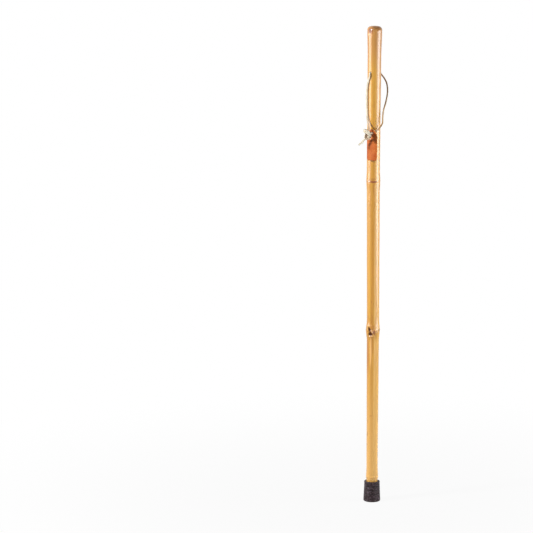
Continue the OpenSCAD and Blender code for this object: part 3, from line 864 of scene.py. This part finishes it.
# A flat strap along a line of points: each point's own width direction turns the section.
strap_tree, given, value_of = new_shape_tree(
    "suede_strap", width=lace_w, thickness=lace_t, edge=lace_edge, nap=lace_nap)
line = strap_tree.nodes.new("GeometryNodeMeshToCurve")
feed(strap_tree, line.inputs[0], given["Geometry"])
wide = strap_tree.nodes.new("GeometryNodeInputNamedAttribute")
wide.data_type = "FLOAT_VECTOR"
wide.inputs["Name"].default_value = "wide"
turned = strap_tree.nodes.new("GeometryNodeSetCurveNormal")
turned.mode = "FREE"
feed(strap_tree, turned.inputs["Curve"], line.outputs[0])
feed(strap_tree, turned.inputs["Normal"], wide.outputs[0])
section = strap_tree.nodes.new("GeometryNodeCurvePrimitiveQuadrilateral")
feed(strap_tree, section.inputs["Width"], value_of["width"])
feed(strap_tree, section.inputs["Height"], value_of["thickness"])
rounded = strap_tree.nodes.new("GeometryNodeFilletCurve")
rounded.mode = "POLY"
rounded.inputs["Count"].default_value = 5
feed(strap_tree, rounded.inputs["Curve"], section.outputs[0])
feed(strap_tree, rounded.inputs["Radius"], value_of["edge"])
spaced = strap_tree.nodes.new("GeometryNodeResampleCurve")
spaced.inputs["Count"].default_value = 32
feed(strap_tree, spaced.inputs["Curve"], rounded.outputs[0])
position = strap_tree.nodes.new("GeometryNodeInputPosition").outputs[0]
sided = strap_tree.nodes.new("GeometryNodeStoreNamedAttribute")
sided.inputs["Name"].default_value = "face"
feed(strap_tree, sided.inputs["Geometry"], spaced.outputs[0])
feed(strap_tree, sided.inputs["Value"], axes_of(strap_tree, position)[1] / value_of["thickness"])
swept = strap_tree.nodes.new("GeometryNodeCurveToMesh")
swept.inputs["Fill Caps"].default_value = True
feed(strap_tree, swept.inputs["Curve"], turned.outputs[0])
feed(strap_tree, swept.inputs["Profile Curve"], sided.outputs[0])
fuzz = (noise(strap_tree, position, 620.0) - 0.5) * value_of["nap"]
end_shape_tree(strap_tree, given, swept.outputs[0], fuzz)

# One face of the strap is the browner skin side. It shows in the knot, and on the back strand it is painted
# darker again as painted shade.
cream_suede, tree, shader, place = new_finish(
    "cream_suede", roughness=0.85, Specular_IOR_Level=0.25, Sheen_Weight=0.25, Sheen_Roughness=0.5)
nap = noise(tree, place, 900.0, detail=4, roughness=0.7)
handled = noise(tree, place, 110.0, detail=3)
hairs = noise(tree, place, (520, 520, 160), detail=3, roughness=0.6)
along_x, along_y, along_z = axes_of(tree, place)
painted_shade_on_back_strand = along_x.between(0.004, 0.010)
in_knot = along_z.between(1.0, 0.965)
skin_side = from_mesh(tree, "face").between(0.3, 0.48)
colour = layered(
    tree, srgb(206, 194, 168),
    (handled.between(0.35, 0.65), srgb(224, 215, 194)),
    (skin_side * in_knot, srgb(190, 164, 138)),
    # The skin side on the back strand is painted darker still: painted shade.
    (skin_side * painted_shade_on_back_strand, srgb(150, 116, 72)),
    (nap.between(0.5, 0.3) * 0.35, srgb(160, 134, 100)),
    (hairs.between(0.55, 0.75) * 0.4, srgb(238, 230, 212)))
feed(tree, shader.inputs["Base Color"], colour)
embossed(tree, shader, nap * 0.7 + hairs * 0.3, 0.00018)


def lace_piece(name, route, node):
    """One stretch of the lace along its route, for its solid; returns it with its line and length."""
    points, widths = run_along(route)
    steps = np.linalg.norm(np.diff(points, axis=0), axis=1)
    mesh = bpy.data.meshes.new(name)
    mesh.from_pydata(points.tolist(), [[i, i + 1] for i in range(len(steps))], [])
    stored = mesh.attributes.new("wide", "FLOAT_VECTOR", "POINT")
    stored.data.foreach_set("vector", widths.ravel().astype(np.float32))
    piece = placed(name, mesh)
    shaped(piece, strap_tree, width=lace_w, thickness=lace_t, edge=lace_edge, nap=lace_nap,
           material=cream_suede)
    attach(piece, "lanyard")
    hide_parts(node)
    return piece, points, float(steps.sum())


front_lace, front_line, front_length = lace_piece("front_lace", front_route, "lace_front")
back_lace, back_line, back_length = lace_piece("back_lace", back_route, "lace_back")
lace_piece("bore_lace", bore_route, "lace_in_bore")

# The studio: a white floor that keeps a faint shadow, and a white surround that lights the staff dimly.
# The key lamp stands high on the left. Soft boxes on both sides are reflected up the lacquer, a low one
# fills in the foot, and one behind, which no gloss reflects, lights the back.
surround_level = 0.07
floor_half = 30.0
floor_grey = 0.35
shadow_share = 0.07
shadow_reach = (0.15, 1.3)
white = (1, 1, 1, 1)


def seen_directly(tree):
    """1 for what the lens sees, straight, in a gloss or through glass, and 0 for what lights a piece."""
    path = tree.nodes.new("ShaderNodeLightPath")
    camera, glossy, through = (Formula(tree, path.outputs[name]) for name in
                               ("Is Camera Ray", "Is Glossy Ray", "Is Transmission Ray"))
    return camera.math("MAXIMUM", glossy).math("MAXIMUM", through)


surround = bpy.data.worlds.new("white_surround")
surround.use_nodes = True
scene.world = surround
tree = surround.node_tree
tree.nodes["Background"].inputs["Color"].default_value = white
level = seen_directly(tree) * (1 - surround_level) + surround_level
feed(tree, tree.nodes["Background"].inputs["Strength"], level)

white_floor = bpy.data.materials.new("white_floor")
white_floor.use_nodes = True
tree = white_floor.node_tree
tree.nodes.clear()
paint = tree.nodes.new("ShaderNodeBsdfDiffuse")
paint.inputs["Color"].default_value = (floor_grey, floor_grey, floor_grey, 1)
glow = tree.nodes.new("ShaderNodeEmission")
glow.inputs["Color"].default_value = white
from_staff = tree.nodes.new("ShaderNodeVectorMath")
from_staff.operation = "LENGTH"
feed(tree, from_staff.inputs[0], tree.nodes.new("ShaderNodeTexCoord").outputs["Object"])
whiteness = Formula(tree, from_staff.outputs["Value"]).between(*shadow_reach)
whiteness = whiteness * shadow_share + (1 - shadow_share)
either = tree.nodes.new("ShaderNodeMixShader")
feed(tree, either.inputs[0], seen_directly(tree) * whiteness)
feed(tree, either.inputs[1], paint.outputs[0])
feed(tree, either.inputs[2], glow.outputs[0])
feed(tree, tree.nodes.new("ShaderNodeOutputMaterial").inputs["Surface"], either.outputs[0])
floor_mesh = bpy.data.meshes.new("floor")
floor_corners = [(x * floor_half, y * floor_half, 0) for x, y in ((-1, -1), (1, -1), (1, 1), (-1, 1))]
floor_mesh.from_pydata(floor_corners, [], [(0, 1, 2, 3)])
floor_mesh.materials.append(white_floor)
floor = placed("floor", floor_mesh)


def lamp(name, degrees_left, distance, centre_z, aim_z, size, radiance, diffuse=True, glossy=True):
    """A soft box at that turn to the left of the front, aimed at a height on the staff's axis."""
    light = bpy.data.lights.new(name, "AREA")
    light.shape = "RECTANGLE"
    light.size = size[0]
    light.size_y = size[1]
    light.energy = radiance * math.pi * size[0] * size[1]
    holder = placed(name, light)
    side = math.radians(degrees_left)
    holder.location = (-distance * math.sin(side), -distance * math.cos(side), centre_z)
    towards = Vector((0, 0, aim_z)) - holder.location
    holder.rotation_euler = towards.to_track_quat("-Z", "Y").to_euler()
    holder.visible_camera = False
    holder.visible_diffuse = diffuse
    holder.visible_glossy = glossy


lamp("key_lamp", 65, distance=5.4, centre_z=3.3, aim_z=0.8, size=(1.0, 0.8), radiance=204.0)
lamp("left_box", 80, distance=1.6, centre_z=0.9, aim_z=0.9, size=(1.3, 0.75), radiance=6.5, diffuse=False)
lamp("right_box", -79, distance=1.5, centre_z=0.75, aim_z=0.75, size=(1.0, 1.1), radiance=8.2)
lamp("right_card", -54, distance=1.6, centre_z=0.82, aim_z=0.82, size=(0.9, 0.5), radiance=4.5,
     diffuse=False)
lamp("low_box", -40, distance=1.6, centre_z=0.25, aim_z=0.25, size=(1.0, 0.5), radiance=2.1)
lamp("back_box", 180, distance=2.5, centre_z=1.1, aim_z=0.6, size=(1.4, 1.6), radiance=5.0, glossy=False)

view_x = -0.2708
view_z = 0.60697
away = 10.2
tilt = math.radians(11.5)
roll = math.radians(0.249)
camera = bpy.data.cameras.new("camera")
camera.sensor_width = 36.0
camera.lens = 273.6
camera.clip_end = 200.0
viewer = placed("camera", camera)
facing = Matrix.Rotation(math.pi / 2 - tilt, 3, "X") @ Matrix.Rotation(roll, 3, "Z")
viewer.rotation_euler = facing.to_euler()
viewer.location = (view_x, -away * math.cos(tilt), view_z + away * math.sin(tilt))
scene.camera = viewer
scene.view_settings.view_transform = "Standard"
